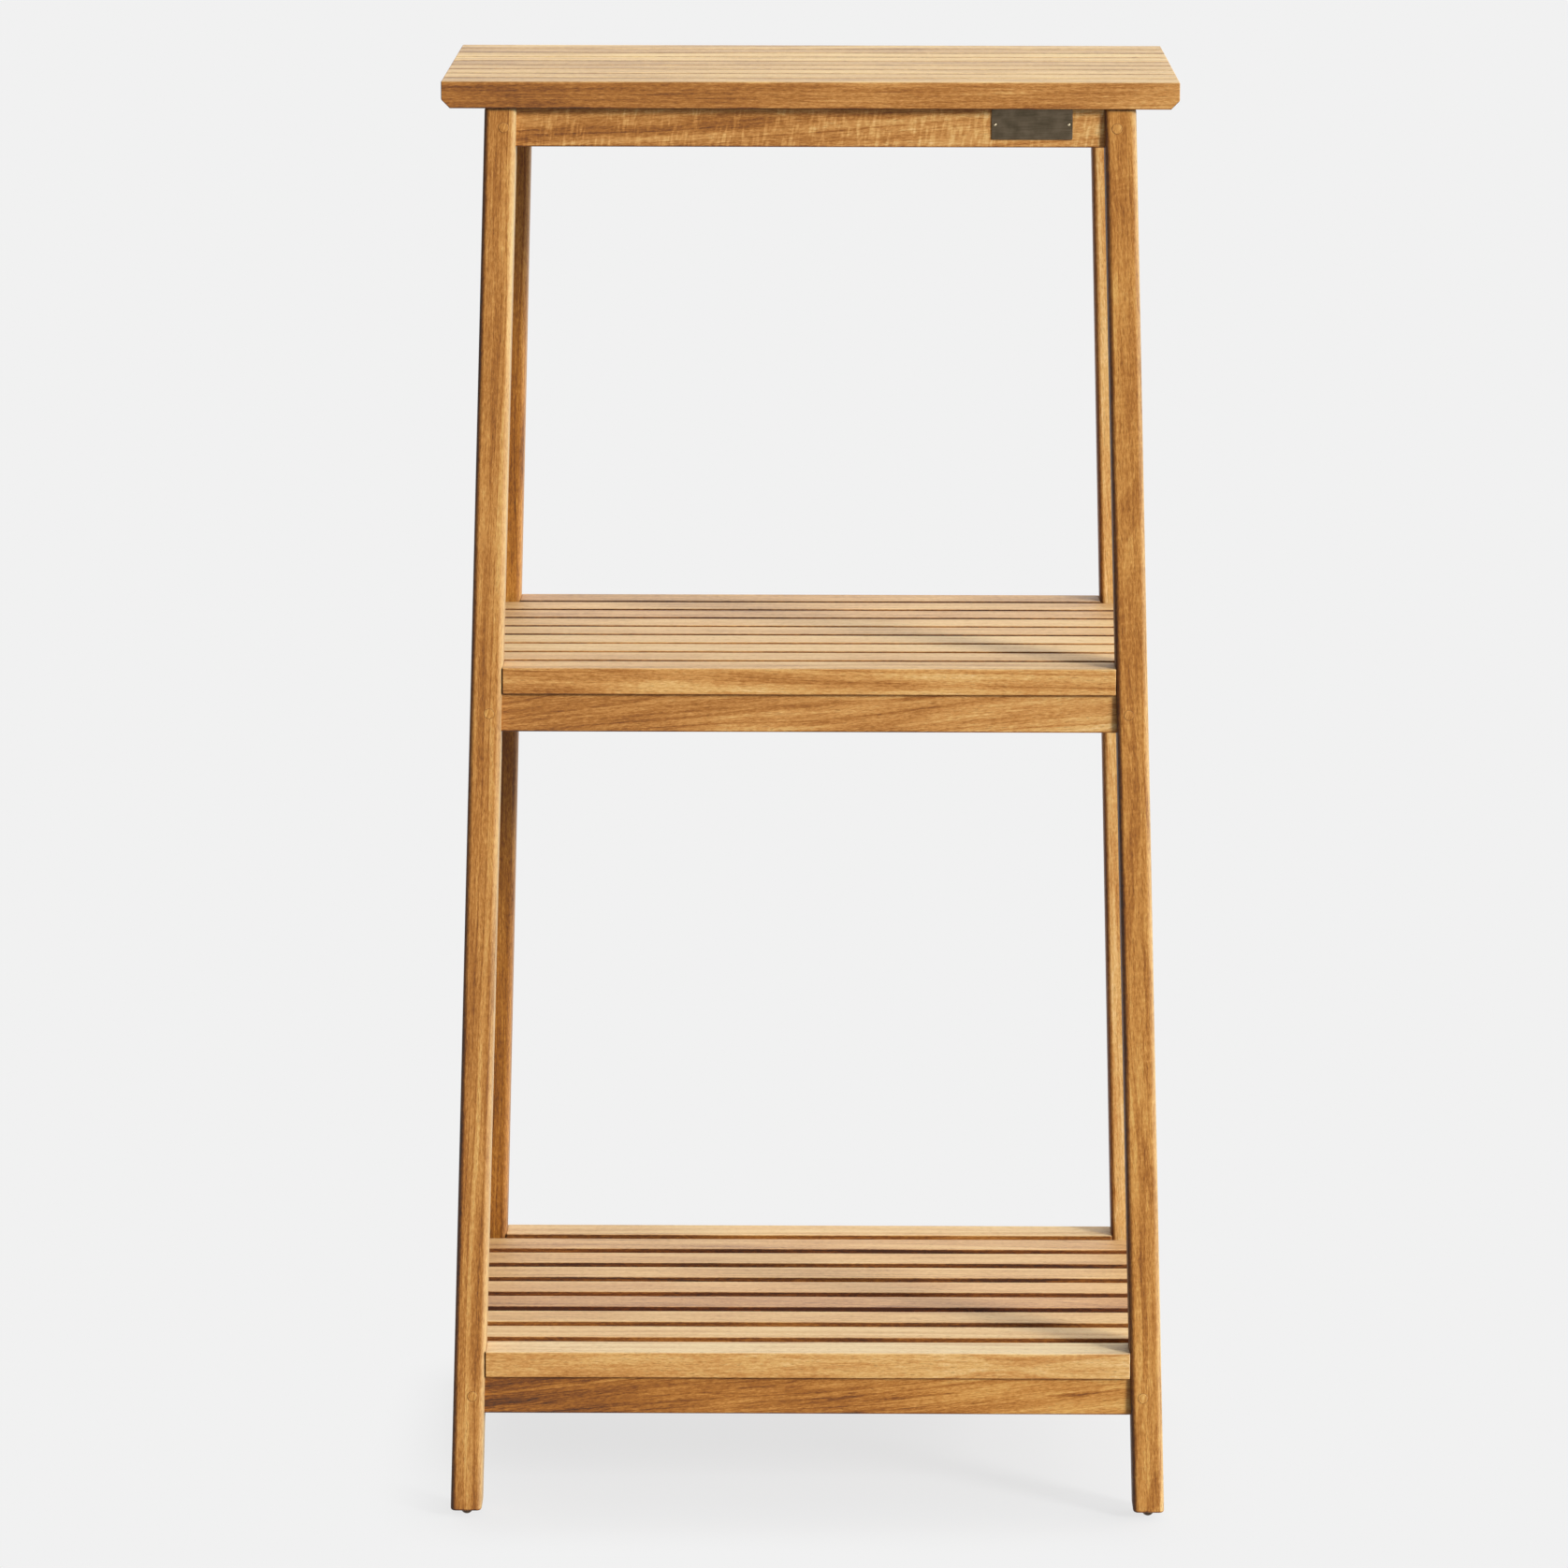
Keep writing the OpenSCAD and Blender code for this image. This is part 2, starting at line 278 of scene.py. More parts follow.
# Each mark is noise over the log, squeezed along the grain by as much as the mark is longer.
given = add(figure, "NodeGroupInput", {}).outputs
leaning = add(
    figure, "ShaderNodeVectorRotate", {"Vector": given["Log"], "Angle": fleck_lean},
    rotation_type="X_AXIS",
).outputs[0]
marks = {}
for name, (width, longer, octaves, strength, distortion) in marks_in_log.items():
    log = leaning if name == "flecks" else given["Log"]
    drawn_out = add(
        figure, "ShaderNodeVectorMath", {0: log, 1: (1, 1, 1 / longer)}, operation="MULTIPLY"
    ).outputs[0]
    marks[name] = add(
        figure, "ShaderNodeTexNoise",
        {"Vector": drawn_out, "Scale": 1 / width, "Detail": octaves, "Roughness": strength,
         "Distortion": distortion},
    ).outputs["Fac"]

# Growth rings lie at a distance from the heart that sways along the log. Their widths are
# uneven, so they are noise over that distance: soft bands, and thin dark lines of late wood.
flat = add(
    figure, "ShaderNodeVectorMath", {0: given["Log"], 1: (1, 1, 0)}, operation="MULTIPLY"
).outputs[0]
distance = add(figure, "ShaderNodeVectorMath", {0: flat}, operation="LENGTH").outputs["Value"]
ring_place = add(
    figure, "ShaderNodeMath", {0: marks["sway"], 1: ring_sway, 2: distance},
    operation="MULTIPLY_ADD",
).outputs[0]
for name, width, octaves in (("bands", ring_band, 2), ("lines", ring_line, 1)):
    marks[name] = add(
        figure, "ShaderNodeTexNoise", {"W": ring_place, "Scale": 1 / width, "Detail": octaves},
        noise_dimensions="1D",
    ).outputs["Fac"]

# Marks that stand out sharply: each comes up as its noise rises between these two values.
for name, source, low, high in (
    ("late wood", "lines", 0.56, 0.74),
    ("dark streaks", "streaks", 0.52, 0.70),
    ("open pores", "pores", 0.60, 0.72),
    ("light flecks", "flecks", 0.42, 0.70),
    ("flecked ground", "ripples", 0.32, 0.60),
):
    marks[name] = add(
        figure, "ShaderNodeMapRange", {"Value": marks[source], "From Min": low, "From Max": high},
        interpolation_type="SMOOTHSTEP",
    ).outputs[0]

# The shade is the part's tone, moved by its share of each pattern. The soft patterns move
# it both ways, and the sharp marks one way.
shade = given["Tone"]
for name, share in (
    ("clouds", 0.45),
    ("bands", 0.4),
    ("streaks", 0.35),
    ("strands", 0.45),
    ("dashes", 0.75),
    ("fibres", 0.2),
):
    centred = add(
        figure, "ShaderNodeMath", {0: marks[name], 1: 0.5}, operation="SUBTRACT"
    ).outputs[0]
    shade = add(
        figure, "ShaderNodeMath", {0: centred, 1: share, 2: shade}, operation="MULTIPLY_ADD"
    ).outputs[0]
grouped = add(
    figure, "ShaderNodeMath", {0: marks["light flecks"], 1: marks["flecked ground"]},
    operation="MULTIPLY",
).outputs[0]
flecked = add(
    figure, "ShaderNodeMath", {0: grouped, 1: given["Flecks"]}, operation="MULTIPLY"
).outputs[0]
streaked = add(
    figure, "ShaderNodeMath", {0: marks["dark streaks"], 1: given["Streaks"]},
    operation="MULTIPLY",
).outputs[0]
# End grain, and the painted shade of left and lower sides and of sides towards gaps, lower the
# shade as well.
for pattern, share in (
    (flecked, 0.20),
    (streaked, -0.40),
    (marks["late wood"], -0.15),
    (given["End grain and shade"], -0.26),
):
    shade = add(
        figure, "ShaderNodeMath", {0: pattern, 1: share, 2: shade}, operation="MULTIPLY_ADD"
    ).outputs[0]
wood = add(figure, "ShaderNodeValToRGB", {"Fac": shade})
for place, code in teak_shades[1:-1]:
    wood.color_ramp.elements.new(place)
for stop, (place, code) in zip(wood.color_ramp.elements, teak_shades):
    stop.position = place
    stop.color = colour(code)

# A rosy part lacks some green and blue, and a golden one some blue.
hue = wood.outputs[0]
for name, tint in (("Rose", "f4d8d0"), ("Gold", "fffad2")):
    hue = add(
        figure, "ShaderNodeMix", {0: given[name], 6: hue, 7: colour(tint)},
        data_type="RGBA", blend_type="MULTIPLY",
    ).outputs[2]

# Painted light: a pale colour painted on the sides that face right and up, in place of the
# lamps' light and sheen there. It goes more to pale strands than to dark ones, so its share
# goes with the shade.
taken = add(
    figure, "ShaderNodeMath", {0: given["Painted light"], 1: shade}, operation="MULTIPLY",
    use_clamp=True,
).outputs[0]
painted_pale = add(
    figure, "ShaderNodeMix", {0: taken, 6: hue, 7: given["Pale"]}, data_type="RGBA"
).outputs[2]
pore_marks = add(
    figure, "ShaderNodeMath", {0: marks["open pores"], 1: pore_share}, operation="MULTIPLY"
).outputs[0]
pitted = add(
    figure, "ShaderNodeMix", {0: pore_marks, 6: painted_pale, 7: colour(pore_colour)},
    data_type="RGBA",
).outputs[2]
roughness = oiled_roughness
for name in ("open pores", "fibres"):
    roughness = add(
        figure, "ShaderNodeMath", {0: marks[name], 1: duller, 2: roughness},
        operation="MULTIPLY_ADD",
    ).outputs[0]
height = 0.0
for name, share in (("open pores", pore_height), ("fibres", fibre_height)):
    height = add(
        figure, "ShaderNodeMath", {0: marks[name], 1: share, 2: height},
        operation="MULTIPLY_ADD",
    ).outputs[0]
add(figure, "NodeGroupOutput", {"Colour": pitted, "Roughness": roughness, "Height": height})

saw = np.random.default_rng(20)


def teak(
    name, piece, grain, tone, drift=0.0, rose=0.0, gold=0.0, streaks=0.3, flecks=0.1,
    slant=0.0, painted_light=(0.55, "e5c68f"), gap_shade=None
):
    """Oiled teak for one part, cut from its own place in a log.

    The log's heart runs along the grain, tilted by a degree or so and by slant, its rise
    in a metre, and passes the part's middle at a distance. The tone is that at the part's
    middle, and drift is how much it rises in a metre of the grain. Rose takes green and
    blue from the colour, and gold takes blue. Streaks and flecks are the shares of the dark
    and the light marks. One pair gives the share, for shade 1, and the pale colour of
    painted light on the sides that face right and upwards, in place of the lamps' light
    and sheen there. End grain keeps more oil and is darker. The left and lower sides and a
    side towards a gap are darkened too, as painted shade. Each of these is a straight step
    over the face's direction. The painted shade at gaps is a pair of shares, for the side
    that faces the front and the one that faces the back.
    """
    middle = Vector(np.array(piece.bound_box).mean(0))
    grain = Vector(grain).normalized()
    side = grain.orthogonal().normalized()
    turn = saw.uniform(0, 2 * np.pi)
    outwards = side * math.cos(turn) + grain.cross(side) * math.sin(turn)
    offset = outwards * saw.uniform(heart_near, heart_far)
    heart = (grain + Vector(saw.normal(0, heart_tilt, 3)) + Vector((0, 0, slant))).normalized()
    start = heart * saw.uniform(-log_reach, log_reach)
    wood, tree = bare_finish("oiled_teak_" + name)
    place = add(tree, "ShaderNodeTexCoord", {}).outputs["Object"]
    log = add(
        tree, "ShaderNodeMapping",
        {"Vector": place, "Location": middle + offset + start,
         "Rotation": heart.to_track_quat("Z", "Y").to_euler()},
        vector_type="TEXTURE",
    ).outputs[0]
    geometry = add(tree, "ShaderNodeNewGeometry", {}).outputs
    along = add(
        tree, "ShaderNodeVectorMath", {0: geometry["True Normal"], 1: grain},
        operation="DOT_PRODUCT",
    ).outputs["Value"]
    end = add(tree, "ShaderNodeMath", {0: along}, operation="ABSOLUTE").outputs[0]
    end_grain_and_shade = add(
        tree, "ShaderNodeMapRange",
        {"Value": end, "From Min": end_grain_at[0], "From Max": end_grain_at[1]},
    ).outputs[0]
    # Painted light: the share of pale colour painted on the sides that face right and up.
    lit = add(
        tree, "ShaderNodeVectorMath", {0: geometry["Normal"], 1: (1, 0, 1)},
        operation="DOT_PRODUCT",
    ).outputs["Value"]
    painted_pale = add(tree, "ShaderNodeMapRange", {"Value": lit, "To Max": painted_light[0]}).outputs[0]
    # Painted shade on the sides that face left and down.
    shaded = add(
        tree, "ShaderNodeMapRange",
        {"Value": lit, "From Min": 0.0, "From Max": shaded_at, "To Max": shaded_share},
    ).outputs[0]
    end_grain_and_shade = add(tree, "ShaderNodeMath", {0: end_grain_and_shade, 1: shaded}, operation="MAXIMUM").outputs[0]
    # Painted shade on a side towards a gap.
    if gap_shade:
        for direction, share in zip(((0, -1, 0), (0, 1, 0)), gap_shade):
            towards = add(
                tree, "ShaderNodeVectorMath", {0: geometry["True Normal"], 1: direction},
                operation="DOT_PRODUCT",
            ).outputs["Value"]
            gap_shaded = add(
                tree, "ShaderNodeMapRange",
                {"Value": towards, "From Min": gap_shade_at[0], "From Max": gap_shade_at[1],
                 "To Max": share},
            ).outputs[0]
            end_grain_and_shade = add(
                tree, "ShaderNodeMath", {0: end_grain_and_shade, 1: gap_shaded}, operation="MAXIMUM"
            ).outputs[0]
    reached = add(
        tree, "ShaderNodeVectorMath", {0: place, 1: grain}, operation="DOT_PRODUCT"
    ).outputs["Value"]
    drifted = add(
        tree, "ShaderNodeMath", {0: reached, 1: drift, 2: tone - drift * middle.dot(grain)},
        operation="MULTIPLY_ADD",
    ).outputs[0]
    pattern = add(
        tree, "ShaderNodeGroup",
        {"Log": log, "Tone": drifted, "Rose": rose, "Gold": gold, "Streaks": streaks,
         "Flecks": flecks, "End grain and shade": end_grain_and_shade, "Painted light": painted_pale, "Pale": colour(painted_light[1])},
        node_tree=figure,
    )
    grainy = add(
        tree, "ShaderNodeBump",
        {"Height": pattern.outputs["Height"], "Strength": grain_strength,
         "Distance": grain_depth},
    ).outputs[0]
    shader = add(
        tree, "ShaderNodeBsdfPrincipled",
        {"Base Color": pattern.outputs["Colour"], "Roughness": pattern.outputs["Roughness"],
         "Normal": grainy, "IOR": oil_ior},
    )
    add(tree, "ShaderNodeOutputMaterial", {"Surface": shader.outputs[0]})
    put_on(piece, wood)
    return tree, pattern, shader


def leg_piece(name):
    """A leg as a loft between its level ends, and the direction of its grain.

    At each height the section is the straight mix of the foot's and the top's rectangles.
    The grain runs from the middle of the foot to the middle of the top.
    """
    points = hidden_points(name)
    heights = points[:, 2]
    foot = points[heights < heights.min() + level_within]
    top = points[heights > heights.max() - level_within]
    stations = np.linspace(heights.min(), heights.max(), leg_stations)
    along, inset, lift = eased_ends(stations, leg_end_ease)
    share = ((along - stations[0]) / (stations[-1] - stations[0]))[:, None]
    near = (1 - share) * foot[:, :2].min(0) + share * top[:, :2].min(0)
    far = (1 - share) * foot[:, :2].max(0) + share * top[:, :2].max(0)
    rings, normals = bar_rings(along, near, far, leg_edge_radius, inset, lift)
    piece = ringed_mesh(name + "_wood", [(rings, normals)])
    grain = np.append((near[-1] + far[-1] - near[0] - far[0]) / 2, along[-1] - along[0])
    return piece, grain


for (end, side), (tone, drift, gold, streaks, painted_light_share) in leg_woods.items():
    name = f"{end}_{side}_leg"
    leg, grain = leg_piece(name)
    teak(
        name, leg, grain, tone=tone, drift=drift, gold=gold, streaks=streaks,
        flecks=streaks / 2, painted_light=(painted_light_share, leg_painted_light),
    )
    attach(leg, "root")
    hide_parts(name)

# ---- Aprons and side rails
# Flat rails of planed teak on edge. Aprons run across the front and the back between the
# legs, on stub tenons, and side rails from front leg to rear leg, each held by a screw
# through the leg. Their undersides are bored for the slats' screws.

TIERS = ("top", "middle", "bottom")

# Each tier's tone, its drift, its rosiness, how golden it is, its shares of dark streaks
# and of light flecks, and the slant of its grain.
apron_woods = {
    "top": (0.54, 0.5, 0.0, 0.0, 0.4, 1.0, 0.05),
    "middle": (0.57, 0.3, 0.0, 0.0, 0.4, 0.1, 0.08),
    "bottom": (0.49, 0.6, 0.1, 0.5, 0.9, 0.1, 0.1),
}
rail_tone = 0.5

for tier in TIERS:
    tone, drift, rose, gold, streaks, flecks, slant = apron_woods[tier]
    for end in ("front", "rear"):
        name = f"{tier}_{end}_apron"
        teak(
            name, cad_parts[name], (1, 0, 0), tone=tone, drift=drift, rose=rose, gold=gold,
            streaks=streaks, flecks=flecks, slant=slant,
        )
    for side in ("left", "right"):
        name = f"{tier}_{side}_rail"
        teak(name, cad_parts[name], (0, 1, 0), tone=rail_tone)

# ---- Leg screws
# Steel wood screws, zinc plated, driven through each leg into the end of a side rail.
# They pull the frame together, and a plug hides each head.


def marked_metal(name, mark, octaves, dark, pale, roughness, shown=(0.0, 1.0)):
    """A bare metal whose colour and roughness change over marks of one width.

    The marks are noise. The colour goes straight from dark to pale as the noise rises over
    the range shown, and the roughness goes from its first value to its second as the noise
    rises from 0 to 1.
    """
    finish, tree = bare_finish(name)
    place = add(tree, "ShaderNodeTexCoord", {}).outputs["Object"]
    noise = add(
        tree, "ShaderNodeTexNoise", {"Vector": place, "Scale": 1 / mark, "Detail": octaves}
    ).outputs["Fac"]
    paler = add(
        tree, "ShaderNodeMapRange",
        {"Value": noise, "From Min": shown[0], "From Max": shown[1]},
    ).outputs[0]
    metal = add(
        tree, "ShaderNodeMix", {0: paler, 6: colour(dark), 7: colour(pale)}, data_type="RGBA"
    ).outputs[2]
    dull = add(
        tree, "ShaderNodeMapRange",
        {"Value": noise, "To Min": roughness[0], "To Max": roughness[1]},
    ).outputs[0]
    shader = add(
        tree, "ShaderNodeBsdfPrincipled",
        {"Base Color": metal, "Roughness": dull, "Metallic": 1.0},
    )
    add(tree, "ShaderNodeOutputMaterial", {"Surface": shader.outputs[0]})
    return finish


# Zinc plate gives the eye a pale grey gleam, broken up by cloudy spangle of about 2 mm.
zinc = marked_metal(
    "zinc_plated_steel", mark=2 * MM, octaves=2, dark="aeb0b2", pale="d0d2d2",
    roughness=(0.25, 0.42),
)
put_on(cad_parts["leg_screws"], zinc)

# ---- Leg plugs
# Short teak plugs, glued over the leg screws and sanded off. Each stands proud of its leg
# by a hair, as plugs do once the wood has moved, and shows a thin dark line of glue.

plug_proud = 0.22 * MM
plug_rim = 0.25 * MM
glue_line = 0.3 * MM
glue_proud = 0.06 * MM
glue_colour = "5a3214"
glue_share = 0.7
plug_sides = 32
plug_grain = (0.3, 0, 1)
plug_height_step = 100 * MM


def plug_rings(points):
    """Rings of one plug, from inside the leg out to its face.

    The points are those of the plug's solid, and its outer ones lie in the leg's leaning
    face. The plane through them has the direction of least spread as its normal. A ring
    has the plug's radius, less what its rim draws in, or more by the line of glue. Glued
    is 1 for the points from the plug's radius outwards, and 0 for the rest.
    """
    rim_steps = 4
    inner = np.abs(points[:, 1]) < np.abs(points[:, 1]).min() + level_within
    face = points[~inner]
    middle = (face.max(0) + face.min(0)) / 2
    out = np.linalg.svd(face - face.mean(0))[2][2]
    out = out * np.sign(out[1] * middle[1])
    across = np.cross([0.0, 0.0, 1.0], out)
    across = across / np.linalg.norm(across)
    up = np.cross(out, across)
    radius = np.ptp(points[inner][:, 0]) / 2
    turn = np.linspace(0, np.pi / 2, rim_steps + 1)
    rim = radius - plug_rim * (1 - np.cos(turn))
    rise = plug_proud - plug_rim * (1 - np.sin(turn))
    radii = np.concatenate([[radius + glue_line] * 2, [radius], rim])
    lifts = np.concatenate([[-plug_rim, glue_proud, glue_proud], rise])
    leans = np.concatenate([[0, np.pi / 2, np.pi / 2], turn])
    angle = np.linspace(0, 2 * np.pi, plug_sides, endpoint=False)
    spoke = np.cos(angle)[:, None] * across + np.sin(angle)[:, None] * up
    rings = middle + radii[:, None, None] * spoke + lifts[:, None, None] * out
    normals = np.cos(leans)[:, None, None] * spoke + np.sin(leans)[:, None, None] * out
    glued = np.repeat(np.where(radii >= radius, 1.0, 0.0), plug_sides)
    return (rings, normals), glued


# The plugs' solids are one node. Its points are told apart by height, which is rounded to a
# step smaller than the distance between tiers, and by side and end.
solid = hidden_points("leg_plugs")
row = np.round(solid[:, 2] / plug_height_step)
which = row * 4 + (solid[:, 0] > 0) * 2 + (solid[:, 1] > 0)
plug_bodies, glued = zip(*[plug_rings(solid[which == plug]) for plug in np.unique(which)])
plugs = ringed_mesh("leg_plugs_wood", plug_bodies)
glued_points = plugs.data.attributes.new("glued", "FLOAT", "POINT")
glued_points.data.foreach_set("value", np.concatenate(glued))
tree, pattern, shader = teak("leg_plugs", plugs, plug_grain, tone=0.60, gold=0.5, streaks=0.2)
glued = add(tree, "ShaderNodeAttribute", {}, attribute_name="glued").outputs["Fac"]
darkened = add(tree, "ShaderNodeMath", {0: glued, 1: glue_share}, operation="MULTIPLY").outputs[0]
lined = add(
    tree, "ShaderNodeMix",
    {0: darkened, 6: pattern.outputs["Colour"], 7: colour(glue_colour)},
    data_type="RGBA",
).outputs[2]
tree.links.new(lined, shader.inputs["Base Color"])
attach(plugs, "root")
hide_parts("leg_plugs")

# ---- Slats
# Nine teak slats to a tier, planed to one thickness, with all their long edges just broken.
# They lie on the rails and are screwed from below, so no screw shows from above. The
# top slats run past the legs and are bevelled under their ends.

slat_edge_radius = 1 * MM
slat_end_ease = 0.8 * MM
slat_stations = 23
bevel = 7 * MM
wander_height = 0.1 * MM
wander_turns = (9, 23)

# The tone and the rosiness of each slat, from the front one to the rear one.
slat_tones = {
    "top": (0.46, 0.55, 0.53, 0.48, 0.42, 0.60, 0.62, 0.44, 0.50),
    "middle": (0.63, 0.66, 0.78, 0.80, 0.64, 0.62, 0.53, 0.57, 0.46),
    "bottom": (0.73, 0.78, 0.67, 0.50, 0.65, 0.62, 0.62, 0.58, 0.75),
}
slat_roses = {
    "top": (0.0, 0.0, 0.0, 0.1, 0.1, 0.0, 0.1, 0.0, 0.0),
    "middle": (0.0, 0.1, 0.0, 0.1, 0.0, 0.0, 0.3, 0.0, 0.0),
    "bottom": (0.0, 0.1, 0.0, 0.9, 0.5, 0.0, 0.2, 0.4, 0.0),
}

# The share of painted light, for shade 1, in each tier, and its pale colour, painted on the
# sides that face right and up. The lowest front slat stands furthest out and gets the most
# painted light. The tone rises along a slat from left to right, most of all in the front
# ones. Of two sides at a gap, both darkened with painted shade, the one that faces the front
# is the darker.
slat_painted_light = {"top": (0.84, "e4cf94"), "middle": (0.78, "e5c68f"), "bottom": (0.68, "e5c68f")}
lowest_front_painted_light = (1.0, "ecd5a6")
front_drift = {"top": 0.3, "middle": 0.15, "bottom": 0.2}
slat_drift = 0.1
gap_shade_front = 1.8
gap_shade_rear = 1.0


def slat_piece(name, bevelled):
    """A slat as a bar along X. Under a bevelled end its lower side rises at 45 degrees.

    Each long side wanders by a fifth of a millimetre either way, as a sum of two slow
    sines, whose turns are in radians to the metre, less 2, so that no side passes the
    slat's full width.
    """
    low, high = (np.array(corner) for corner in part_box(name))
    ends = [low[0], high[0]]
    if bevelled:
        ends += [low[0] + bevel, high[0] - bevel]
    between = np.linspace(low[0] + 2 * bevel, high[0] - 2 * bevel, slat_stations)
    stations = np.unique(np.concatenate([ends, between]))
    along, inset, lift = eased_ends(stations, slat_end_ease)
    wave = saw.uniform(0, 2 * np.pi, 4)
    slow, quick = wander_turns
    wander = [
        wander_height * (np.sin(along * slow + wave[i]) + np.sin(along * quick + wave[i + 2]) - 2)
        for i in (0, 1)
    ]
    rise = np.zeros(len(along))
    if bevelled:
        rise = np.maximum(0, np.maximum(low[0] + bevel - along, along - high[0] + bevel))
    near = np.stack([low[1] - wander[0], low[2] + rise], 1)
    far = np.stack([high[1] + wander[1], np.full(len(along), high[2])], 1)
    rings, normals = bar_rings(along, near, far, slat_edge_radius, inset, lift)
    return ringed_mesh(name + "_wood", [(rings[..., [2, 0, 1]], normals[..., [2, 0, 1]])])


for tier in TIERS:
    count = len(slat_tones[tier])
    for number, tone, rose in zip(range(1, count + 1), slat_tones[tier], slat_roses[tier]):
        name = f"{tier}_slat_{number}"
        slat = slat_piece(name, bevelled=tier == "top")
        teak(
            name, slat, (1, 0, 0), tone=tone, rose=rose,
            drift=front_drift[tier] if number == 1 else slat_drift,
            painted_light=lowest_front_painted_light if name == "bottom_slat_1" else slat_painted_light[tier],
            gap_shade=(gap_shade_front * (number > 1), gap_shade_rear * (number < count)),
        )
        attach(slat, "root")
        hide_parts(name)

# ---- Slat screws
# The same zinc plated screws, driven up through the rails and aprons into the slats.
# Their heads sit deep in counterbores, so they show only from below.

for tier in TIERS:
    put_on(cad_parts[tier + "_slat_screws"], zinc)

# ---- Name plate
# A bare plate of sheet brass with softened edges, pinned to the top apron at the right.
# It was brushed lengthways and has darkened to olive grey, paler where it has been rubbed.

plate_edge = 0.3 * MM
plate_corner = 1.5 * MM
brush_line = 0.4 * MM
brush_stretch = 0.03
brush_depth = 0.05 * MM
brush_strength = 0.2
tarnish_cloud = 9 * MM
tarnish_range = (0.75, 1.25)
plate_colours = ("5f5442", "7f705c")
plate_roughness = (0.35, 0.6)

low, high = (np.array(corner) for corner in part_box("name_plate"))
along, inset, lift = eased_ends(np.array([low[1], high[1]]), plate_edge)
near = np.tile(low[[2, 0]], (len(along), 1))
far = np.tile(high[[2, 0]], (len(along), 1))
rings, normals = bar_rings(along, near, far, plate_corner, inset, lift)
plate = ringed_mesh("name_plate_brass", [(rings[..., [1, 2, 0]], normals[..., [1, 2, 0]])])

# Darkened brass gives the eye a deep olive grey with fine lengthways lines and dim clouds.
# The lines are drawn 0.4 mm wide, coarser than a brush leaves, so that they show.
brass, tree = bare_finish("darkened_brushed_brass")
place = add(tree, "ShaderNodeTexCoord", {}).outputs["Object"]
drawn = add(
    tree, "ShaderNodeVectorMath", {0: place, 1: (brush_stretch, 1, 1)}, operation="MULTIPLY"
).outputs[0]
lines = add(
    tree, "ShaderNodeTexNoise", {"Vector": drawn, "Scale": 1 / brush_line, "Detail": 2}
).outputs["Fac"]
tarnish = add(
    tree, "ShaderNodeTexNoise", {"Vector": place, "Scale": 1 / tarnish_cloud, "Detail": 3}
).outputs["Fac"]
both = add(tree, "ShaderNodeMath", {0: lines, 1: tarnish}, operation="ADD").outputs[0]
rubbed = add(
    tree, "ShaderNodeMapRange",
    {"Value": both, "From Min": tarnish_range[0], "From Max": tarnish_range[1]},
).outputs[0]
metal = add(
    tree, "ShaderNodeMix",
    {0: rubbed, 6: colour(plate_colours[0]), 7: colour(plate_colours[1])},
    data_type="RGBA",
).outputs[2]
dull = add(
    tree, "ShaderNodeMapRange",
    {"Value": lines, "To Min": plate_roughness[0], "To Max": plate_roughness[1]},
).outputs[0]
scored = add(
    tree, "ShaderNodeBump",
    {"Height": lines, "Strength": brush_strength, "Distance": brush_depth},
).outputs[0]
shader = add(
    tree, "ShaderNodeBsdfPrincipled",
    {"Base Color": metal, "Roughness": dull, "Metallic": 1.0, "Normal": scored},
)
add(tree, "ShaderNodeOutputMaterial", {"Surface": shader.outputs[0]})
put_on(plate, brass)
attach(plate, "root")
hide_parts("name_plate")

# ---- Name plate pins
# Two round-headed pins of bright brass, tapped through the plate into the apron.
# Their heads are domes that hands have kept polished.

# Polished brass gives the eye two small pale gold glints, scuffed at about half a millimetre.
bright = marked_metal(
    "polished_brass", mark=0.5 * MM, octaves=2, dark="e8d6a8", pale="f6ecd0",
    roughness=(0.15, 0.35),
)
put_on(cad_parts["name_plate_pins"], bright)

# ---- Foot glides
# Domed nail glides of bronzed steel, hammered into the feet. They keep the end grain off
# a wet floor, and their domes are scratched where the shelf has been pushed about.

# Bronzed steel gives the eye a dark brown gleam with a few paler scuffs a millimetre across.
bronzed = marked_metal(
    "bronzed_steel", mark=1 * MM, octaves=3, dark="4a3a2c", pale="8a7458",
    roughness=(0.3, 0.55), shown=(0.55, 0.7),
)
put_on(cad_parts["foot_glides"], bronzed)

# ---- Floor, light and camera
# A pale paper sweep under soft daylight. It comes from a window at the right, a little in
# front of the shelf, and from the pale walls and the ceiling around.

backdrop = colour("f1f1f1")
floor_by_light = colour("8c8a88")
floor_by_eye = colour("e3e3e3")
floor_reach = 60

floor_mesh = bpy.data.meshes.new("floor")
floor_mesh.from_pydata(
    [(-floor_reach, -floor_reach, 0), (floor_reach, -floor_reach, 0),
     (floor_reach, floor_reach, 0), (-floor_reach, floor_reach, 0)],
    [], [(0, 1, 2, 3)],
)
floor = bpy.data.objects.new("floor", floor_mesh)
bpy.context.scene.collection.objects.link(floor)
floor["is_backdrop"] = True
studio = bpy.data.worlds.new("studio")
studio.use_nodes = True
studio.node_tree.nodes.clear()
bpy.context.scene.world = studio
sweep, sweep_tree = bare_finish("paper_sweep")
put_on(floor, sweep)

# The floor fills the view with one pale grey, and the sky shows only in reflections. It is
# dim towards the room in front: its strength goes over the second pair as the dot product
# of its direction and room_depth goes over the first.
room_depth = (0.8, 1, 0.3)
room_range = (0.3, 0.9)
room_strength = (0.15, 0.65)

# The floor glows, and only a small share of what the eye gets from it is real light, so
# that the shelf's shadow stays faint. The share is whole on the patch under the shelf, given
# by half its sizes, and fades out round it. To all other light floor and sky are dim.
shadow_share = 0.18
shadow_fade = 0.12
shadow_patch = (0.26, 0.2, 0)
sky_strength = 0.06

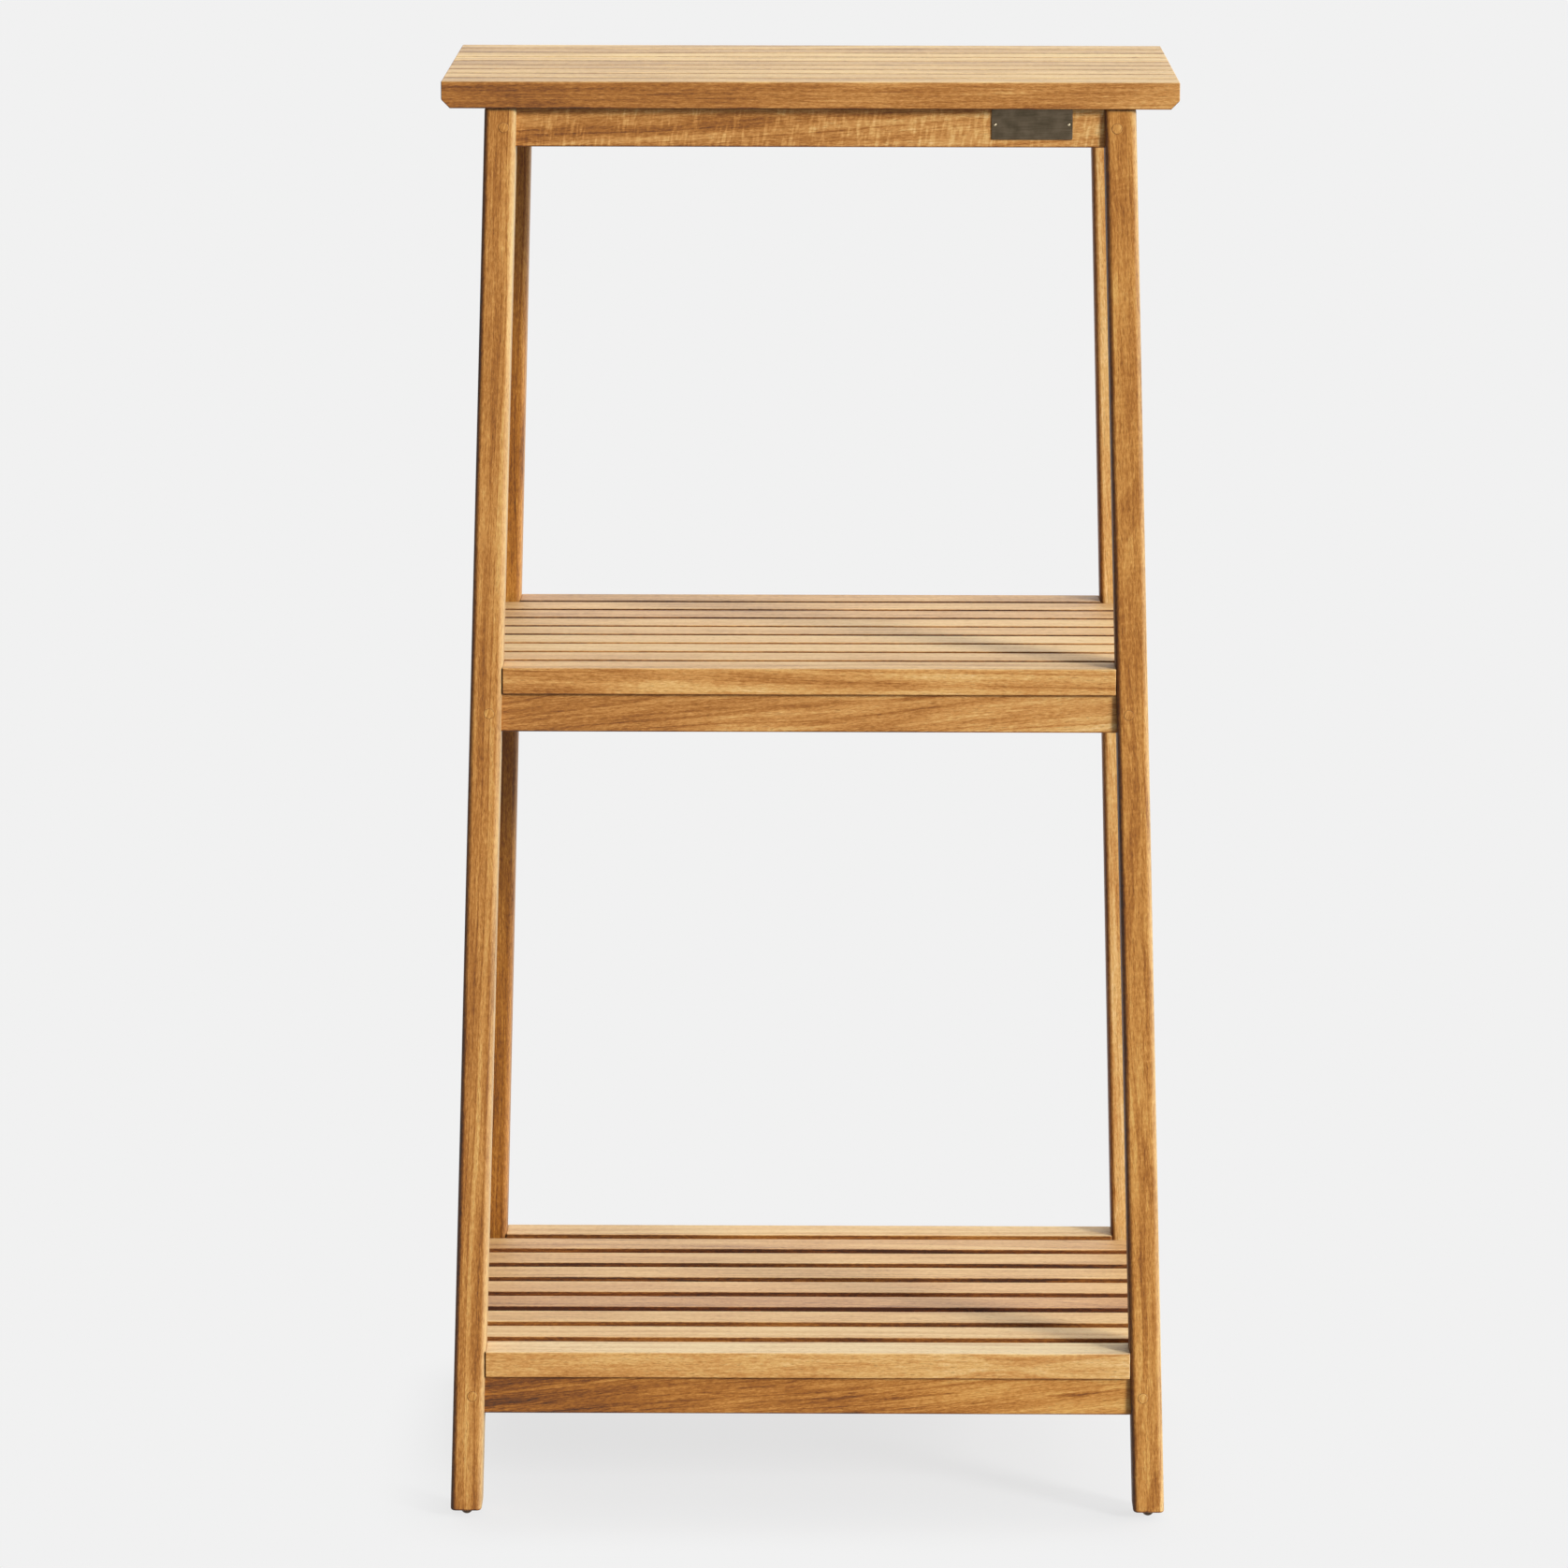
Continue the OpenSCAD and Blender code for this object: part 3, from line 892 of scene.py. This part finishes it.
for tree in (sweep_tree, studio.node_tree):
    path = add(tree, "ShaderNodeLightPath", {}).outputs
    seen = path["Is Camera Ray"]
    for kind in ("Is Glossy Ray", "Is Transmission Ray"):
        seen = add(tree, "ShaderNodeMath", {0: seen, 1: path[kind]}, operation="MAXIMUM").outputs[0]
    if tree == studio.node_tree:
        dim = add(
            tree, "ShaderNodeBackground", {"Color": colour("ffffff"), "Strength": sky_strength}
        ).outputs[0]
        way = add(tree, "ShaderNodeTexCoord", {}).outputs["Generated"]
        behind = add(
            tree, "ShaderNodeVectorMath", {0: way, 1: room_depth}, operation="DOT_PRODUCT"
        ).outputs["Value"]
        strength = add(
            tree, "ShaderNodeMapRange",
            {"Value": behind, "From Min": room_range[0], "From Max": room_range[1],
             "To Min": room_strength[0], "To Max": room_strength[1]},
        ).outputs[0]
        pale = add(
            tree, "ShaderNodeBackground", {"Color": backdrop, "Strength": strength}
        ).outputs[0]
        output = "ShaderNodeOutputWorld"
    else:
        dim = add(tree, "ShaderNodeBsdfDiffuse", {"Color": floor_by_light}).outputs[0]
        lit = add(tree, "ShaderNodeBsdfDiffuse", {"Color": floor_by_eye}).outputs[0]
        glow = add(tree, "ShaderNodeEmission", {"Color": backdrop, "Strength": 1.0}).outputs[0]
        place = add(tree, "ShaderNodeTexCoord", {}).outputs["Object"]
        apart = add(
            tree, "ShaderNodeVectorMath", {0: place}, operation="ABSOLUTE"
        ).outputs[0]
        past = add(
            tree, "ShaderNodeVectorMath", {0: apart, 1: shadow_patch}, operation="SUBTRACT"
        ).outputs[0]
        clear = add(
            tree, "ShaderNodeVectorMath", {0: past, 1: (0, 0, 0)}, operation="MAXIMUM"
        ).outputs[0]
        away = add(
            tree, "ShaderNodeVectorMath", {0: clear}, operation="LENGTH"
        ).outputs["Value"]
        share = add(
            tree, "ShaderNodeMapRange",
            {"Value": away, "From Max": shadow_fade, "To Min": shadow_share, "To Max": 0.0},
            interpolation_type="SMOOTHSTEP",
        ).outputs[0]
        pale = add(tree, "ShaderNodeMixShader", {0: share, 1: glow, 2: lit}).outputs[0]
        output = "ShaderNodeOutputMaterial"
    shown = add(tree, "ShaderNodeMixShader", {0: seen, 1: dim, 2: pale}).outputs[0]
    add(tree, output, {"Surface": shown})


def lamp(name, azimuth, elevation, strength, spread, glare=True):
    """Daylight from an azimuth, 0 in front and 90 at the right, and an elevation, in degrees.

    Spread is the angle that its source takes up. Without glare it gives light and shadow,
    and no reflection of itself.
    """
    light = bpy.data.lights.new(name, "SUN")
    light.energy = strength
    light.angle = math.radians(spread)
    holder = bpy.data.objects.new(name, light)
    holder.rotation_euler = Euler((math.radians(90 - elevation), 0, math.radians(azimuth)))
    holder.visible_glossy = glare
    bpy.context.scene.collection.objects.link(holder)


lamp("window", 50, 20, 3.1, 14, glare=False)
lamp("right_wall", 85, 20, 2.4, 80)
lamp("front_wall", 40, 12, 0.8, 50)
lamp("rear_wall", 170, 35, 1.6, 90)
lamp("ceiling", 90, 80, 0.3, 90)

# The viewer stands in front at eye height and looks down a little, all angles in degrees.
viewer_place = (0.0148, -5.8022, 1.7179)
viewer_turn = 0.3602
viewer_pitch = 11.0369
viewer_roll = 0.0808

camera = bpy.data.cameras.new("camera")
camera.sensor_width = 36
camera.lens = 159.18
camera.clip_end = 200
viewer = bpy.data.objects.new("camera", camera)
viewer.matrix_world = (
    Matrix.Translation(viewer_place)
    @ Matrix.Rotation(math.radians(viewer_turn), 4, "Z")
    @ Matrix.Rotation(math.radians(90 - viewer_pitch), 4, "X")
    @ Matrix.Rotation(math.radians(viewer_roll), 4, "Z")
)
bpy.context.scene.collection.objects.link(viewer)
bpy.context.scene.camera = viewer
bpy.context.scene.view_settings.view_transform = "Standard"

low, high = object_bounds()
